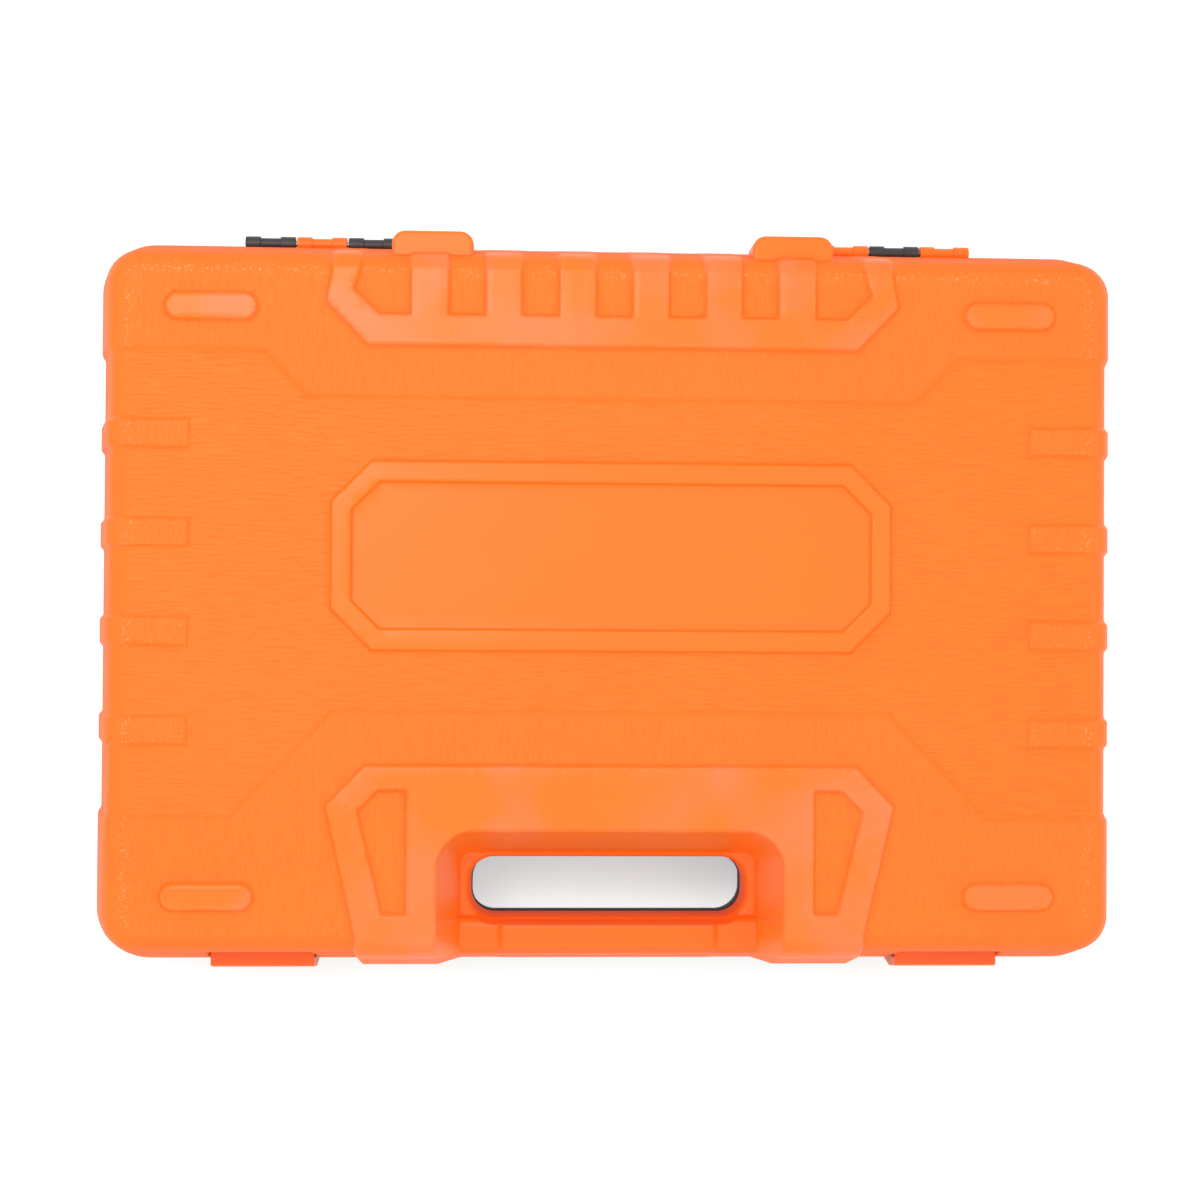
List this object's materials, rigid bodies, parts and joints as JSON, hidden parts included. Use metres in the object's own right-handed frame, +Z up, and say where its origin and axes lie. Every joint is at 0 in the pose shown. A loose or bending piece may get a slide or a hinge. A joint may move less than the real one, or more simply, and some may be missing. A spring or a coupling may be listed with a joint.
{
  "type": "socket wrench set in case",
  "caption": "Flat hinged carry case with a grip slot and two pull latches; inside, a fitted tray holds ratchets, sockets, extensions and bits.",
  "frame": {"origin": "centre of the case's footprint, on the plane that it rests on", "axes": "+X along the case's width, +Y from the handle towards the hinges, +Z up through the lid"},
  "size_m": [0.3886, 0.2806, 0.072],
  "materials": {
    "lid_plastic": "satin, moulded grain",
    "base_plastic": "satin, moulded grain",
    "latch_plastic": "smooth",
    "pin_steel": "drawn",
    "grip_plastic": "matt",
    "rack_plastic": "satin",
    "bit_steel": "satin",
    "control_steel": "satin",
    "tool_chrome": "satin chrome"
  },
  "bodies": {
    "base": {"base_shell": "base_plastic", "base_tray": "base_plastic", "latch_pin_left": "pin_steel", "latch_pin_right": "pin_steel", "hinge_pin_left": "pin_steel", "hinge_pin_right": "pin_steel", "bit_racks": "rack_plastic", "large_ratchet_body": "tool_chrome", "large_ratchet_grip": "grip_plastic", "large_ratchet_plate": "tool_chrome", "large_ratchet_pawl": "control_steel", "small_ratchet_body": "tool_chrome", "small_ratchet_grip": "grip_plastic", "small_ratchet_plate": "tool_chrome", "socket_10mm": "tool_chrome", "socket_11mm": "tool_chrome", "socket_12mm": "tool_chrome", "socket_13mm": "tool_chrome", "socket_14mm": "tool_chrome", "socket_15mm": "tool_chrome", "socket_16mm": "tool_chrome", "socket_17mm": "tool_chrome", "socket_18mm": "tool_chrome", "socket_19mm": "tool_chrome", "socket_20mm": "tool_chrome", "socket_21mm": "tool_chrome", "socket_22mm": "tool_chrome", "socket_24mm": "tool_chrome", "socket_27mm": "tool_chrome", "socket_30mm": "tool_chrome", "socket_32mm": "tool_chrome", "spark_plug_sockets": "tool_chrome", "large_extension": "tool_chrome", "large_joint_socket": "tool_chrome", "bit_adapter": "tool_chrome", "small_sockets": "tool_chrome", "deep_sockets": "tool_chrome", "star_sockets": "tool_chrome", "small_extensions": "tool_chrome", "small_joint": "tool_chrome", "t_bar": "tool_chrome", "spinner_grip": "grip_plastic", "spinner_shank": "tool_chrome", "flexible_extension": "tool_chrome", "bit_holder": "tool_chrome", "large_bits": "bit_steel", "small_bits": "bit_steel"},
    "lid": {"lid_shell": "lid_plastic", "lid_liner": "lid_plastic"},
    "latch_left": {"latch_left": "latch_plastic"},
    "latch_right": {"latch_right": "latch_plastic"},
    "large_drive": {"large_ratchet_drive": "tool_chrome"},
    "large_lever": {"large_ratchet_lever": "control_steel"},
    "large_button": {"large_ratchet_button": "control_steel"},
    "small_drive": {"small_ratchet_drive": "tool_chrome"},
    "small_lever": {"small_ratchet_lever": "control_steel"},
    "small_button": {"small_ratchet_button": "control_steel"},
    "t_bar_head": {"t_bar_head": "tool_chrome"},
    "joint_cross": {"large_joint_cross": "tool_chrome"},
    "joint_drive": {"large_joint_drive": "tool_chrome"}
  },
  "joints": [
    {"name": "lid_hinge", "type": "hinge", "parent": "base", "child": "lid", "pos_m": [0, 0.1376, 0.036], "axis": [-1, 0, 0], "range_deg": [0, 170]},
    {"name": "latch_left_pivot", "type": "hinge", "parent": "base", "child": "latch_left", "pos_m": [-0.13015, -0.1346, 0.021], "axis": [1, 0, 0], "range_deg": [0, 110]},
    {"name": "latch_right_pivot", "type": "hinge", "parent": "base", "child": "latch_right", "pos_m": [0.13015, -0.1346, 0.021], "axis": [1, 0, 0], "range_deg": [0, 110]},
    {"name": "large_drive_spin", "type": "hinge", "parent": "base", "child": "large_drive", "pos_m": [-0.164, 0.0666, 0.0344], "axis": [0, 0, 1], "continuous": true},
    {"name": "large_lever_swing", "type": "hinge", "parent": "base", "child": "large_lever", "pos_m": [-0.143, 0.0666, 0.0344], "axis": [0, 0, 1], "range_deg": [-20, 20]},
    {"name": "large_button_press", "type": "slide", "parent": "base", "child": "large_button", "axis": [0, 0, -1], "range_m": [0, 0.002], "stiffness_N_per_m": 400},
    {"name": "small_drive_spin", "type": "hinge", "parent": "base", "child": "small_drive", "pos_m": [-0.171, -0.007, 0.0344], "axis": [0, 0, 1], "continuous": true},
    {"name": "small_lever_swing", "type": "hinge", "parent": "base", "child": "small_lever", "pos_m": [-0.15798, -0.007, 0.0344], "axis": [0, 0, 1], "range_deg": [-20, 20]},
    {"name": "small_button_press", "type": "slide", "parent": "base", "child": "small_button", "axis": [0, 0, -1], "range_m": [0, 0.0012], "stiffness_N_per_m": 300},
    {"name": "t_bar_head_slide", "type": "slide", "parent": "base", "child": "t_bar_head", "axis": [1, 0, 0], "range_m": [-0.045, 0.045]},
    {"name": "joint_tilt", "type": "hinge", "parent": "base", "child": "joint_cross", "pos_m": [0.133, 0.0265, 0.0344], "axis": [0, -1, 0], "range_deg": [0, 18]},
    {"name": "joint_swing", "type": "hinge", "parent": "joint_cross", "child": "joint_drive", "pos_m": [0.133, 0.0265, 0.0344], "axis": [0, 0, 1], "range_deg": [-10, 10]}
  ]
}
